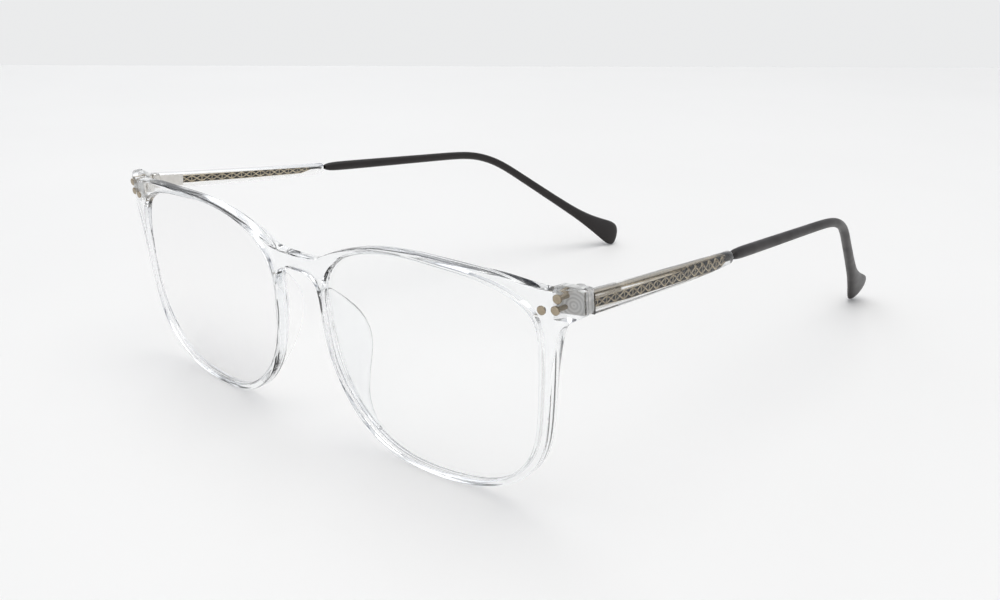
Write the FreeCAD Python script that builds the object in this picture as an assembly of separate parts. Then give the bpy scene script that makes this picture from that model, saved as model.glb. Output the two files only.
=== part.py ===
import FreeCAD, Part
import math
import os

from FreeCAD import Placement, Rotation, Vector

# Eyeglasses: a clear moulded front, two clear-sleeved temples on hinges, dark temple tips.
# Millimetres. X runs across the face with +X at the wearer's left, Y from the front back
# to the ear ends, Z up. The frame stands open, on the two rims and the two temple tips.

# ---- driving dimensions -------------------------------------------------------------
HALF_WIDTH = 66.7           # middle of the bridge to the outer face of a temple
FACE_RADIUS = 497.5         # the front wraps round the face on this radius
FRONT_LEAN = 5.67           # degrees that the top of the front leans forward
RIM_DEPTH = 2.5             # front to back through a rim
END_DEPTH = 4.38            # face-form curve to the back of an end piece, which carries a hinge
SWEEP_START = 60.5          # the front of an end piece sweeps back from here, across
SWEEP = 0.072               # depth of the sweep per square millimetre beyond that
END_BLOCK_INNER = 60.6      # the extra depth starts here, across
END_BLOCK_LOW = 36.4        # and here, up

LENS_CENTRE = (33.2, 21.8)  # boxing centre of the left lens, across and up the front
LENS_RADIUS = 260.0         # front curve of a lens
LENS_THICKNESS = 1.2
GROOVE_DEPTH = 0.5          # how far a lens enters its rim

TEMPLE_CONVERGE = 5.0       # degrees that each temple runs inward
TEMPLE_DROP = 3.48          # degrees that each temple runs down
TEMPLE_HEIGHT = 40.09       # temple's middle line at the front, above the rims' lowest point
TEMPLE_THICKNESS = 2.6
BUTT_GAP = 0.06             # open temple to end piece
SLEEVE_LENGTH = 48.7
CORE_THICKNESS = 0.9
CORE_WIRE_RADIUS = 0.5
CORE_TAPER_START = 43.2     # the flat core narrows from here
CORE_TAPER_END = 45.8       # and is a round wire from here

TIP_MID = -0.1              # middle line of a tip where it leaves its sleeve
TIP_RISE = 0.3              # degrees that a tip runs flatter than its sleeve
TIP_STRAIGHT = 47.5         # sleeve end to the start of the ear bend
EAR_BEND_RADIUS = 30.0
EAR_BEND = 33.3             # degrees
EAR_TUCK = 21.6             # degrees that the plane of the bend leans in to the head
TIP_END = 46.2              # ear bend to the end of the tip
TIP_WIRE_SHORT = 12.0       # the wire stops this far before the end of the tip

HINGE_INSET = 3.8           # outer face of the temple to the hinge axis
HINGE_BEHIND = 1.4          # back of the end piece to the hinge axis, at mid height
HINGE_MID_HEIGHT = 40.05    # above the rims' lowest point
KNUCKLE_RADIUS = 1.15
KNUCKLE_HEIGHT = 0.68
KNUCKLE_GAP = 0.02
SCREW_RADIUS = 0.6
SCREW_FIT = 0.01            # screw in the front leaf, radial
SCREW_RUNNING = 0.03        # screw in the temple leaf, radial
SCREW_HEAD_RADIUS = 0.95
SCREW_SLOT = (0.26, 0.14)   # width and depth of the driver slot
SCREW_HEAD_HEIGHT = 0.3
WEB_WIDTH = 1.2             # web between a knuckle and its leaf

POCKET_INNER, POCKET_OUTER = 61.1, 65.5     # milled pocket for the front leaf
POCKET_BOTTOM, POCKET_TOP = 37.55, 41.6
POCKET_DEPTH = 1.2
LEAF_THICKNESS = 0.9
LEAF_CLEARANCE = 0.05
RIVET_HEAD_RADIUS = 0.8
RIVET_HEAD_SUNK = 0.35
RIVET_PROUD = 0.12
RIVET_SHANK_RADIUS = 0.45
STUD_LENGTH = 1.2
LEAF_RIVETS = [(61.95, 38.75), (62.35, 40.75)]  # through the end piece to the leaf
RIM_STUD = (59.4, 38.4)                         # matching stud beside the lens

TEMPLE_LEAF_LENGTH = 9.0
TEMPLE_LEAF_HEIGHT = 2.6
TEMPLE_LEAF_THICKNESS = 0.8

# Control points of the front's outline, wearer's left half, from the middle of the
# bridge's top, out along the brow to the end piece, and back under the rim to the
# middle of the bridge's underside. (across, up)
FRONT_OUTLINE = [
    (0.0, 37.0), (6.8, 37.0), (7.3, 38.2), (20.2, 42.5), (31.7, 43.4), (43.8, 42.9),
    (52.3, 42.9), (59.0, 41.8), (64.2, 42.2), (65.9, 42.3), (66.7, 42.3), (66.7, 41.3),
    (66.7, 39.0), (66.7, 37.9), (65.8, 37.4), (63.9, 36.3), (63.1, 35.7), (62.6, 34.4),
    (61.5, 30.0), (60.7, 24.0), (59.8, 16.3), (58.9, 12.3), (56.6, 7.6), (50.8, 3.0),
    (44.7, 1.0), (38.1, -0.1), (31.2, 0.0), (24.1, 0.6), (17.8, 3.2), (12.1, 8.4),
    (8.3, 15.4), (6.3, 23.5), (7.0, 34.3), (0.9, 33.7), (0.0, 33.7)]

# Control points of the left lens opening, from the temporal side over the top.
LENS_OPENING = [
    (58.7, 27.9), (58.8, 36.2), (55.2, 38.8), (48.4, 41.3), (37.2, 41.8), (27.9, 42.6),
    (12.8, 39.6), (7.1, 32.2), (8.2, 24.8), (8.8, 14.7), (16.8, 5.5), (25.3, 1.3),
    (37.4, 1.1), (49.5, 2.9), (56.7, 10.4), (57.9, 18.5)]

# Stations down a nose pad: height, nasal edge of the rim there, reach behind the rim.
NOSE_PAD = [
    (31.2, 6.5, 0.6), (29.4, 6.6, 2.4), (27.2, 6.6, 4.3), (24.6, 6.8, 6.0),
    (21.5, 7.2, 6.8), (18.4, 7.9, 6.6), (15.4, 8.9, 5.3), (12.4, 10.2, 3.8),
    (9.4, 12.1, 2.1), (6.4, 14.9, 1.0), (4.4, 17.4, 0.4)]
PAD_SPLAY = 0.45            # outward run of a pad per unit of reach
PAD_ROOT = 1.5              # pad thickness at the rim
PAD_EDGE = 0.8              # pad thickness at its free edge

# Sleeve sections: distance from the hinge end, width, height, middle, corner radius.
SLEEVE_SECTIONS = [
    (-1.2, 2.6, 3.75, -0.08, 0.35), (12.0, 2.6, 3.4, -0.3, 0.4),
    (30.0, 2.6, 3.1, -0.45, 0.6), (41.0, 2.5, 2.9, -0.45, 0.9),
    (48.7, 2.4, 2.6, -0.25, 1.15)]

# Side outline of the flat core: distance from the hinge end, height.
CORE_TOP = [(0.4, 0.6), (10.0, 0.5), (25.0, 0.45), (43.2, 0.55)]
CORE_BOTTOM = [(43.2, -1.45), (25.0, -1.4), (10.0, -1.2), (0.4, -0.75)]

# Tip sections: share of the way along a stretch, width, thickness, rise of the section's
# middle. The three stretches are the straight, the ear bend and the end, which flares
# into a flat paddle with its heel on the upper side.
TIP_ON_STRAIGHT = [(0.0, 2.4, 2.4, 0.0), (0.2, 2.35, 2.35, 0.0), (0.4, 2.3, 2.3, 0.0),
                   (0.6, 2.2, 2.2, 0.0), (0.8, 2.15, 2.15, 0.0), (1.0, 2.1, 2.1, 0.0)]
TIP_ON_BEND = [(0.35, 2.1, 2.1, 0.0), (0.7, 2.15, 2.1, 0.0), (1.0, 2.2, 2.15, 0.0)]
TIP_ON_END = [(0.12, 2.25, 2.2, 0.0), (0.25, 2.35, 2.2, 0.0), (0.38, 2.5, 2.2, 0.0),
              (0.5, 2.7, 2.25, 0.0), (0.6, 2.95, 2.3, 0.05), (0.7, 3.6, 2.35, 0.15),
              (0.8, 4.9, 2.5, 0.35), (0.88, 6.4, 2.5, 0.6), (0.94, 7.6, 2.5, 0.8),
              (0.975, 7.8, 2.4, 0.9), (1.0, 7.2, 2.2, 1.0), (1.015, 6.0, 1.8, 0.95),
              (1.025, 4.4, 1.1, 0.9)]

CONVERGE = math.radians(TEMPLE_CONVERGE)


# ---- helpers ------------------------------------------------------------------------
def open_spline(points):
    """Cubic spline edge that starts and ends on its first and last control points."""
    count = len(points)
    knots = list(range(count - 2))
    repeats = [4] + [1] * (count - 4) + [4]
    curve = Part.BSplineCurve()
    curve.buildFromPolesMultsKnots(points, repeats, knots, False, 3)
    return curve.toShape()


def closed_spline(points):
    """Smooth closed cubic spline edge round its control points."""
    knots = list(range(len(points) + 1))
    curve = Part.BSplineCurve()
    curve.buildFromPolesMultsKnots(points, [1] * len(knots), knots, True, 3)
    return curve.toShape()


def sag(across):
    """How far the front has curved back at a distance from the middle."""
    return FACE_RADIUS - math.sqrt(FACE_RADIUS ** 2 - across ** 2)


def front_face(across):
    """Depth of the front's outer face: the face-form curve, swept back at the end pieces."""
    return sag(across) + SWEEP * max(0.0, across - SWEEP_START) ** 2


def moved(shape, *placements):
    """A rigidly moved copy of a shape, with placements applied innermost first."""
    total = Placement()
    for placement in placements:
        total = placement.multiply(total)
    result = shape.copy()
    result.Placement = total.multiply(result.Placement)
    return result


def mirrored(shape):
    """The same piece for the wearer's right side."""
    return shape.mirror(Vector(0, 0, 0), Vector(1, 0, 0))


def box_between(low, high):
    """A box from its two opposite corners."""
    size = [b - a for a, b in zip(low, high)]
    return Part.makeBox(*size, Vector(*low))


def upright(radius, bottom, top):
    """A vertical cylinder on the Z axis."""
    return Part.makeCylinder(radius, top - bottom, Vector(0, 0, bottom))


# ---- placements ---------------------------------------------------------------------
END_BACK = sag(HALF_WIDTH) + END_DEPTH
LEAN = Placement(Vector(), Rotation(Vector(1, 0, 0), FRONT_LEAN))
TURN = Rotation(Vector(0, 0, 1), TEMPLE_CONVERGE)
# End-piece frame: X along the back of the end piece, Y backward, origin on its outer edge.
END_PIECE = Placement(Vector(HALF_WIDTH, END_BACK, 0), TURN)
BACK_EDGE = LEAN.multVec(Vector(HALF_WIDTH, END_BACK, HINGE_MID_HEIGHT))
# Temple frame: Y along the temple, X outward, origin on the outer face at the front.
DROP = Rotation(Vector(1, 0, 0), -TEMPLE_DROP)
TEMPLE = Placement(Vector(BACK_EDGE.x, BACK_EDGE.y, TEMPLE_HEIGHT), TURN.multiply(DROP))
# Hinge frame: Z is the hinge axis, X outward and Y backward, square to the end piece.
HINGE_OFFSET = TURN.multVec(Vector(-HINGE_INSET, HINGE_BEHIND, 0))
HINGE = Placement(Vector(BACK_EDGE.x, BACK_EDGE.y, HINGE_MID_HEIGHT).add(HINGE_OFFSET), TURN)
# Tip frame: Y along the tip's straight, with its bend downward and in to the head.
TIP = Placement(
    Vector(-TEMPLE_THICKNESS / 2, SLEEVE_LENGTH, TIP_MID),
    Rotation(Vector(1, 0, 0), TIP_RISE).multiply(Rotation(Vector(0, 1, 0), EAR_TUCK)))


# ---- front --------------------------------------------------------------------------
def wrapped_wall():
    """The front as a wall on the face-form curve, deeper and swept back at the end pieces."""
    wide, low, high = HALF_WIDTH + 0.8, -8, 52
    behind = END_BACK + 8
    step = (wide - SWEEP_START) / 6
    stations = [SWEEP_START + n * step for n in range(7)]
    swept = Part.BSplineCurve()
    swept.interpolate([Vector(x, front_face(x), low) for x in stations])
    swept = swept.toShape()
    start = Vector(SWEEP_START, sag(SWEEP_START), low)
    middle = Part.Arc(Vector(-start.x, start.y, low), Vector(0, 0, low), start).toShape()
    corners = [Vector(wide, front_face(wide), low), Vector(wide, behind, low),
               Vector(-wide, behind, low), Vector(-wide, front_face(wide), low)]
    sides = [Part.makeLine(a, b) for a, b in zip(corners, corners[1:])]
    outline = Part.Wire(Part.__sortEdges__([middle, swept, mirrored(swept)] + sides))
    slab = Part.Face(outline).extrude(Vector(0, 0, high - low))
    below = Part.makeCylinder(FACE_RADIUS - RIM_DEPTH, END_BLOCK_LOW - low + 1,
                              Vector(0, FACE_RADIUS, low - 1))
    return slab.cut(below).cut(behind_end_blocks(behind + 1, high + 1)).removeSplitter()


def behind_end_blocks(behind, top):
    """The space behind the upper part of the wall: the rims' back, then the end blocks'."""
    inner, wide, up = END_BLOCK_INNER, HALF_WIDTH + 2, END_BLOCK_LOW
    rim_back = FACE_RADIUS - math.sqrt((FACE_RADIUS - RIM_DEPTH) ** 2 - inner ** 2)
    slope = math.tan(CONVERGE)
    corners = [(inner, rim_back), (inner + 0.8, END_BACK + (inner + 0.8 - HALF_WIDTH) * slope),
               (wide, END_BACK + (wide - HALF_WIDTH) * slope), (wide, behind)]
    points = [Vector(x, y, up) for x, y in corners]
    points += [Vector(-x, y, up) for x, y in reversed(corners)]
    sides = [Part.makeLine(a, b) for a, b in zip(points, points[1:])]
    arc = Part.Arc(points[-1], Vector(0, RIM_DEPTH, up), points[0]).toShape()
    outline = Part.Wire(Part.__sortEdges__([arc] + sides))
    return Part.Face(outline).extrude(Vector(0, 0, top - up))


def front_blank():
    """The whole outline of the front, cut out of the wrapped wall."""
    half = open_spline([Vector(x, -5, z) for x, z in FRONT_OUTLINE])
    outline = Part.Wire(Part.__sortEdges__([half, mirrored(half)]))
    return wrapped_wall().common(Part.Face(outline).extrude(Vector(0, 25, 0)))


def grown(points, distance):
    """Control points of a closed outline, each moved outward by a distance."""
    result = []
    before, after = points[-1:] + points[:-1], points[1:] + points[:1]
    for (ax, az), (x, z), (bx, bz) in zip(before, points, after):
        along = Vector(bx - ax, 0, bz - az).normalize()
        result.append((x + along.z * distance, z - along.x * distance))
    return result


def lens_plate(grow, front_extra, back_extra):
    """A lens, or the space for one: the opening grown outward, between two spheres."""
    x, z = LENS_CENTRE
    edge = closed_spline([Vector(px, -5, pz) for px, pz in grown(LENS_OPENING, grow)])
    column = Part.Face(Part.Wire([edge])).extrude(Vector(0, 25, 0))
    normal = Vector(-x, FACE_RADIUS, 0).normalize()
    centre = Vector(x, sag(x), z).add(normal * LENS_RADIUS)
    ball = Part.makeSphere(LENS_RADIUS + front_extra, centre)
    hollow = Part.makeSphere(LENS_RADIUS - LENS_THICKNESS - back_extra, centre)
    return column.common(ball).cut(hollow)


def pocket():
    """The milled pocket that holds the front leaf, in the end-piece frame."""
    low = (POCKET_INNER - HALF_WIDTH, -POCKET_DEPTH, POCKET_BOTTOM)
    high = (POCKET_OUTER - HALF_WIDTH, 2.0, POCKET_TOP)
    return box_between(low, high)


def rivet(across, up, depth):
    """One rivet in the end-piece frame: a low domed head at the front, a plain shank."""
    along = Vector(0, 1, 0)
    face = front_face(across) - END_BACK - (across - HALF_WIDTH) * math.tan(CONVERGE)
    seat = Vector(across - HALF_WIDTH, face - RIVET_PROUD, up)
    head = Part.makeCylinder(RIVET_HEAD_RADIUS, RIVET_HEAD_SUNK + RIVET_PROUD, seat, along)
    head = head.makeChamfer(0.1, [e for e in head.Edges if e.BoundBox.YMax < seat.y + 0.01])
    shank = Part.makeCylinder(RIVET_SHANK_RADIUS, depth - seat.y, seat, along)
    return head.fuse(shank).removeSplitter()


def rivets():
    """The rivets of the left end piece, still in the end-piece frame."""
    leaf_back = LEAF_THICKNESS - POCKET_DEPTH
    result = [rivet(across, up, leaf_back) for across, up in LEAF_RIVETS]
    across, up = RIM_STUD
    face = front_face(across) - END_BACK - (across - HALF_WIDTH) * math.tan(CONVERGE)
    result.append(rivet(across, up, face + STUD_LENGTH))
    return result


def front_frame(rivet_solids):
    """The moulded front with its end blocks, lens grooves, pockets and rivet holes."""
    body = front_blank()
    cutters = [moved(cutter, END_PIECE) for cutter in [pocket()] + rivet_solids]
    cutters += [lens_plate(0.0, 12.0, 12.0), lens_plate(GROOVE_DEPTH, 0.03, 0.03)]
    for cutter in cutters:
        body = body.cut(cutter).cut(mirrored(cutter))
    return body


def nose_pad():
    """One nose pad: a thin fin behind the nasal side of the rim, lofted down its stations."""
    sections = []
    for height, edge, reach in NOSE_PAD:
        root = sag(edge) + RIM_DEPTH
        run = edge + PAD_SPLAY * reach
        corners = [(edge + 0.1, root), (edge + PAD_ROOT, root), (run + PAD_EDGE, root + reach - 0.25),
                   (run + PAD_EDGE / 2, root + reach), (run + 0.1, root + reach - 0.25)]
        points = [Vector(x, y, height) for x, y in corners]
        sections.append(Part.makePolygon(points + points[:1]))
    return Part.makeLoft(sections, True, True)


# ---- hinge --------------------------------------------------------------------------
def knuckle_levels():
    """Bottom and top of the five knuckles about the middle of the hinge, lowest first."""
    pitch = KNUCKLE_HEIGHT + KNUCKLE_GAP
    lowest = -(5 * KNUCKLE_HEIGHT + 4 * KNUCKLE_GAP) / 2
    return [(lowest + n * pitch, lowest + n * pitch + KNUCKLE_HEIGHT) for n in range(5)]


def front_leaf():
    """The leaf in the end piece's pocket, with three knuckles standing behind it."""
    low = (POCKET_INNER - HALF_WIDTH + LEAF_CLEARANCE, -POCKET_DEPTH, POCKET_BOTTOM + LEAF_CLEARANCE)
    high = (POCKET_OUTER - HALF_WIDTH - LEAF_CLEARANCE, LEAF_THICKNESS - POCKET_DEPTH,
            POCKET_TOP - LEAF_CLEARANCE)
    plate = moved(box_between(low, high), END_PIECE, LEAN)
    knuckles = []
    for bottom, top in knuckle_levels()[0::2]:
        web = box_between((-WEB_WIDTH / 2, -2.2, bottom), (WEB_WIDTH / 2, 0, top))
        knuckles.append(upright(KNUCKLE_RADIUS, bottom, top).fuse(web))
    bore = upright(SCREW_RADIUS + SCREW_FIT, -5, 5)
    group = [moved(knuckle.cut(bore), HINGE) for knuckle in knuckles]
    return plate.fuse(group).removeSplitter()


def temple_leaf():
    """The leaf let into the inner face of the temple, with its two knuckles."""
    inner = -TEMPLE_THICKNESS
    half = TEMPLE_LEAF_HEIGHT / 2
    mid = SLEEVE_SECTIONS[0][3]
    plate = box_between((inner, 0.45, mid - half),
                        (inner + TEMPLE_LEAF_THICKNESS, TEMPLE_LEAF_LENGTH, mid + half))
    plate = moved(plate, TEMPLE)
    knuckles = []
    for bottom, top in knuckle_levels()[1::2]:
        reach = HINGE_INSET - TEMPLE_THICKNESS + TEMPLE_LEAF_THICKNESS / 2
        web = box_between((0, -WEB_WIDTH / 2, bottom), (reach, WEB_WIDTH / 2, top))
        knuckles.append(upright(KNUCKLE_RADIUS, bottom, top).fuse(web))
    bore = upright(SCREW_RADIUS + SCREW_RUNNING, -5, 5)
    group = [moved(knuckle.cut(bore), HINGE) for knuckle in knuckles]
    return plate.fuse(group).removeSplitter()


def hinge_screw():
    """The hinge screw: slotted head on top of the knuckles, shank through all five."""
    levels = knuckle_levels()
    bottom, top = levels[0][0], levels[-1][1]
    head = upright(SCREW_HEAD_RADIUS, top, top + SCREW_HEAD_HEIGHT)
    rim = [e for e in head.Edges if e.BoundBox.ZMin > top + SCREW_HEAD_HEIGHT - 0.01]
    head = head.makeChamfer(0.1, rim)
    width, depth = SCREW_SLOT
    slot = box_between((-2, -width / 2, top + SCREW_HEAD_HEIGHT - depth), (2, width / 2, top + 1))
    screw = head.cut(slot).fuse(upright(SCREW_RADIUS, bottom, top + 0.1))
    return moved(screw.removeSplitter(), HINGE)


# ---- temple -------------------------------------------------------------------------
def rounded_section(along, width, height, mid, corner):
    """A rounded rectangle across the temple, with its outer side on the outer face."""
    low, high = mid - height / 2 + corner, mid + height / 2 - corner
    left = -TEMPLE_THICKNESS / 2 - width / 2 + corner
    right = -TEMPLE_THICKNESS / 2 + width / 2 - corner
    side = corner / math.sqrt(2)
    corners = [(right, high, 1, 1), (left, high, -1, 1), (left, low, -1, -1), (right, low, 1, -1)]
    arcs = []
    for x, z, sx, sz in corners:
        first = Vector(x + (corner if sx * sz > 0 else 0) * sx, along,
                       z + (0 if sx * sz > 0 else corner) * sz)
        last = Vector(x + (0 if sx * sz > 0 else corner) * sx, along,
                      z + (corner if sx * sz > 0 else 0) * sz)
        middle = Vector(x + side * sx, along, z + side * sz)
        arcs.append(Part.Arc(first, middle, last).toShape())
    edges = []
    for arc, after in zip(arcs, arcs[1:] + arcs[:1]):
        edges.append(arc)
        edges.append(Part.makeLine(arc.valueAt(arc.LastParameter),
                                   after.valueAt(after.FirstParameter)))
    return Part.Wire(edges)


def on_ear_bend(share):
    """Middle line of the tip at a share of the ear bend, and its slope in radians."""
    slope = math.radians(EAR_BEND) * share
    y = TIP_STRAIGHT + EAR_BEND_RADIUS * math.sin(slope)
    z = EAR_BEND_RADIUS * (math.cos(slope) - 1)
    return Vector(0, y, z), slope


def on_straight(share):
    """Middle line of the tip at a share of its first straight."""
    return Vector(0, TIP_STRAIGHT * share, 0), 0.0


def on_end(share):
    """Middle line of the tip at a share of its end, behind the ear."""
    start, slope = on_ear_bend(1.0)
    heading = Vector(0, math.cos(slope), -math.sin(slope))
    return start.add(heading * (TIP_END * share)), slope


def temple_tip():
    """The dark tip: oval sections lofted along the ear bend to the flat paddle."""
    wires = []
    stretches = [(on_straight, TIP_ON_STRAIGHT), (on_ear_bend, TIP_ON_BEND), (on_end, TIP_ON_END)]
    for stretch, sections in stretches:
        for share, width, thickness, rise in sections:
            place, slope = stretch(share)
            upward = Vector(0, math.sin(slope), math.cos(slope))
            place = place.add(upward * rise)
            across = upward * (width / 2 + 0.001)
            side = Vector(thickness / 2, 0, 0)
            oval = Part.Ellipse(place.add(across), place.add(side), place)
            wires.append(Part.Wire([oval.toShape()]))
    return moved(Part.makeLoft(wires, True, False), TIP)


def temple_core():
    """The core: a flat strip inside the sleeve that narrows to a wire inside the tip."""
    outline = CORE_TOP + [(CORE_TAPER_END, TIP_MID + 0.4),
                          (CORE_TAPER_END, TIP_MID - 0.4)] + CORE_BOTTOM
    side = -TEMPLE_THICKNESS / 2 - CORE_THICKNESS / 2
    points = [Vector(side, y, z) for y, z in outline]
    strip = Part.Face(Part.makePolygon(points + points[:1])).extrude(Vector(CORE_THICKNESS, 0, 0))
    start, middle, finish = [on_ear_bend(share)[0] for share in (0.0, 0.5, 1.0)]
    neck = Vector(0, -(SLEEVE_LENGTH - CORE_TAPER_END + 0.6), 0)
    last = on_end(1 - TIP_WIRE_SHORT / TIP_END)[0]
    route = Part.Wire([Part.makeLine(neck, start), Part.Arc(start, middle, finish).toShape(),
                       Part.makeLine(finish, last)])
    ring = Part.Wire([Part.makeCircle(CORE_WIRE_RADIUS, neck, Vector(0, 1, 0))])
    wire = route.makePipeShell([ring], True, False)
    return strip.fuse(moved(wire, TIP)).removeSplitter()


def temple_sleeve(core):
    """The clear sleeve, lofted from the hinge end, cast round the core and the leaf."""
    body = Part.makeLoft([rounded_section(*row) for row in SLEEVE_SECTIONS], True, False)
    mid = SLEEVE_SECTIONS[0][3]
    half = TEMPLE_LEAF_HEIGHT / 2
    seat = box_between((-TEMPLE_THICKNESS - 1, -3, mid - half),
                       (-TEMPLE_THICKNESS + TEMPLE_LEAF_THICKNESS, TEMPLE_LEAF_LENGTH, mid + half))
    sleeve = moved(body.cut(core).cut(seat), TEMPLE)
    beyond = box_between((-12, -12, 20), (6, BUTT_GAP, 60))
    return sleeve.cut(moved(beyond, END_PIECE, LEAN))


# ---- assembly -----------------------------------------------------------------------
def build():
    """Every piece by node name, standing on Z = 0 with the bounding box centred."""
    rivet_solids = rivets()
    core = temple_core()
    tip = temple_tip().cut(core)
    left = {
        "nose_pad": moved(nose_pad(), LEAN),
        "lens": moved(lens_plate(GROOVE_DEPTH - 0.03, 0.0, 0.0), LEAN),
        "front_hinge_leaf": front_leaf().cut([moved(solid, END_PIECE, LEAN) for solid in rivet_solids]),
        "front_rivets": Part.makeCompound([moved(solid, END_PIECE, LEAN) for solid in rivet_solids]),
        "hinge_screw": hinge_screw(),
        "temple_hinge_leaf": temple_leaf(),
        "temple_sleeve": temple_sleeve(core),
        "temple_core": moved(core, TEMPLE),
        "temple_tip": moved(tip, TEMPLE),
    }
    nodes = {"front_frame": moved(front_frame(rivet_solids), LEAN)}
    for name, shape in left.items():
        nodes[name + "_left"] = shape
        nodes[name + "_right"] = mirrored(shape)
    box = Part.makeCompound(list(nodes.values())).BoundBox
    shift = Placement(Vector(0, -(box.YMin + box.YMax) / 2, -box.ZMin), Rotation())
    return {name: moved(shape, shift) for name, shape in nodes.items()}, shift


os.makedirs("parts", exist_ok=True)
parts, to_origin = build()
for node, solid in parts.items():
    solid.exportStep("parts/" + node + ".step")
    extent = solid.BoundBox
    print(f"{node:26s} {len(solid.Solids)} solid, {solid.Volume:8.2f} mm3,"
          f" X {extent.XMin:.2f} {extent.XMax:.2f} Y {extent.YMin:.2f} {extent.YMax:.2f}"
          f" Z {extent.ZMin:.2f} {extent.ZMax:.2f}")
axis_point = to_origin.multVec(HINGE.Base)
print("hinge axis, left side:", axis_point, " moved by", to_origin.Base)
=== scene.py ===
# %% [markdown]
# # Eyeglasses with a clear front and dark temple tips
# A moulded clear front holds two lenses, two nose pads and two riveted hinges. Each temple is a
# clear sleeve cast round a patterned metal core, and ends in a dark curved tip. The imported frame
# is loaded first, because every piece takes its place from it and rides on one of its bodies.

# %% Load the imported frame
import bpy
import bmesh
import math
from mathutils import Euler, Matrix, Vector


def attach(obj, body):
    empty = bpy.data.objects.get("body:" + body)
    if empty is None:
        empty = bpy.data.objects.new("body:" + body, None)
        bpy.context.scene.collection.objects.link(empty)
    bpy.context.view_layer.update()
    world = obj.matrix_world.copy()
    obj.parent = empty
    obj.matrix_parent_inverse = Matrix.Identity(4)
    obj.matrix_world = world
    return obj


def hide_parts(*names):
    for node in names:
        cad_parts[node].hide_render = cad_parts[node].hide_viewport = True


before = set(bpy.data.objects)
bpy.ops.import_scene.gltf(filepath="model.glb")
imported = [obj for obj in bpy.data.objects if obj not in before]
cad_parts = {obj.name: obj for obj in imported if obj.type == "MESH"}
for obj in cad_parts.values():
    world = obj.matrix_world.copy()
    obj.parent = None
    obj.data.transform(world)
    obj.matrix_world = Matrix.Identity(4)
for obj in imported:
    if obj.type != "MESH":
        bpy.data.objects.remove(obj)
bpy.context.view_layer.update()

# %% [markdown]
# The pieces are drawn in millimetres, in the maker's own frames: the front flat on its drawing,
# the temple along its own length. A matrix then carries each piece to its place. The front leans
# forward and follows a face curve, and each temple runs inward and drops a little.

# %% Dimensions and frames
HALF_WIDTH = 66.7
FACE_RADIUS = 497.5
RIM_DEPTH = 2.5
END_DEPTH = 4.38
SWEEP_START, SWEEP = 60.5, 0.072
LENS_CENTRE = (33.2, 21.8)
LENS_RADIUS = 260.0
LENS_THICKNESS = 1.2
TEMPLE_THICKNESS = 2.6
SLEEVE_LENGTH = 48.7
TIP_MID = -0.1
ROW_BACK, ROW_RISE = -75.748, 0.106
LEAN_ANGLE, CONVERGE_ANGLE, DROP_ANGLE = 5.67, 5.0, 3.48
HINGE_ON_DRAWING, HINGE_HEIGHT = 40.05, 40.09
TIP_PITCH, TIP_ROLL = 0.3, 21.6


def sag(across):
    """How far the face curve has gone back at a distance from the middle."""
    return FACE_RADIUS - math.sqrt(FACE_RADIUS ** 2 - across ** 2)


def front_face(across):
    """Depth of the front's outer face, which sweeps back at the end pieces."""
    return sag(across) + SWEEP * max(0.0, abs(across) - SWEEP_START) ** 2


def turned(degrees, axis):
    """A rotation matrix about a named axis."""
    return Matrix.Rotation(math.radians(degrees), 4, axis)


END_BACK = sag(HALF_WIDTH) + END_DEPTH
CONVERGE = math.radians(CONVERGE_ANGLE)
ROW = Matrix.Scale(0.001, 4) @ Matrix.Translation((0, ROW_BACK, ROW_RISE))
LEAN = turned(LEAN_ANGLE, "X")
TURN = turned(CONVERGE_ANGLE, "Z")
FRONT = ROW @ LEAN
END_PIECE = FRONT @ Matrix.Translation((HALF_WIDTH, END_BACK, 0)) @ TURN
BACK_EDGE = LEAN @ Vector((HALF_WIDTH, END_BACK, HINGE_ON_DRAWING))
TEMPLE = (ROW @ Matrix.Translation((BACK_EDGE.x, BACK_EDGE.y, HINGE_HEIGHT))
          @ TURN @ turned(-DROP_ANGLE, "X"))
TIP = (TEMPLE @ Matrix.Translation((-TEMPLE_THICKNESS / 2, SLEEVE_LENGTH, TIP_MID))
       @ turned(TIP_PITCH, "X") @ turned(TIP_ROLL, "Y"))
MIRROR = Matrix.Diagonal((-1, 1, 1, 1))

# %% [markdown]
# The camera stands in front of the wearer's left side, a little above the glasses, and looks
# down across the front. It comes early, so that each piece can be judged as soon as it is made.

# %% Camera
CAMERA_TILT, CAMERA_ROLL, CAMERA_TURN = 72.156, -0.418, 42.684
camera_data = bpy.data.cameras.new("camera")
camera_data.sensor_width = 36.0
camera_data.lens = 41.827
camera = bpy.data.objects.new("camera", camera_data)
camera.location = (0.173784, -0.209778, 0.096924)
camera.rotation_euler = Euler([math.radians(angle) for angle in (CAMERA_TILT, CAMERA_ROLL, CAMERA_TURN)])
bpy.context.scene.collection.objects.link(camera)
bpy.context.scene.camera = camera

# %% [markdown]
# Every outline is a smooth spline through a few control points. Blender's NURBS curve gives that
# line: it is made a mesh once, its points are read in order, and the curve is thrown away.

# %% Smooth lines from control points
def smooth_line(points, closed, steps):
    """Points along the cubic NURBS line of these control points."""
    curve = bpy.data.curves.new("line", "CURVE")
    curve.dimensions = "3D"
    spline = curve.splines.new("NURBS")
    spline.points.add(len(points) - 1)
    for target, point in zip(spline.points, points):
        target.co = (*point, 1.0)
    spline.use_cyclic_u = closed
    spline.order_u = 4
    spline.use_endpoint_u = not closed
    spline.resolution_u = steps
    holder = bpy.data.objects.new("line", curve)
    mesh = bpy.data.meshes.new_from_object(holder)
    found = [vertex.co.copy() for vertex in mesh.vertices]
    bpy.data.objects.remove(holder)
    bpy.data.curves.remove(curve)
    bpy.data.meshes.remove(mesh)
    return found


def flat_line(pairs, closed, steps):
    """The same for (across, up) pairs on the front's drawing, at depth 0."""
    return smooth_line([(across, 0.0, up) for across, up in pairs], closed, steps)


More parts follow.
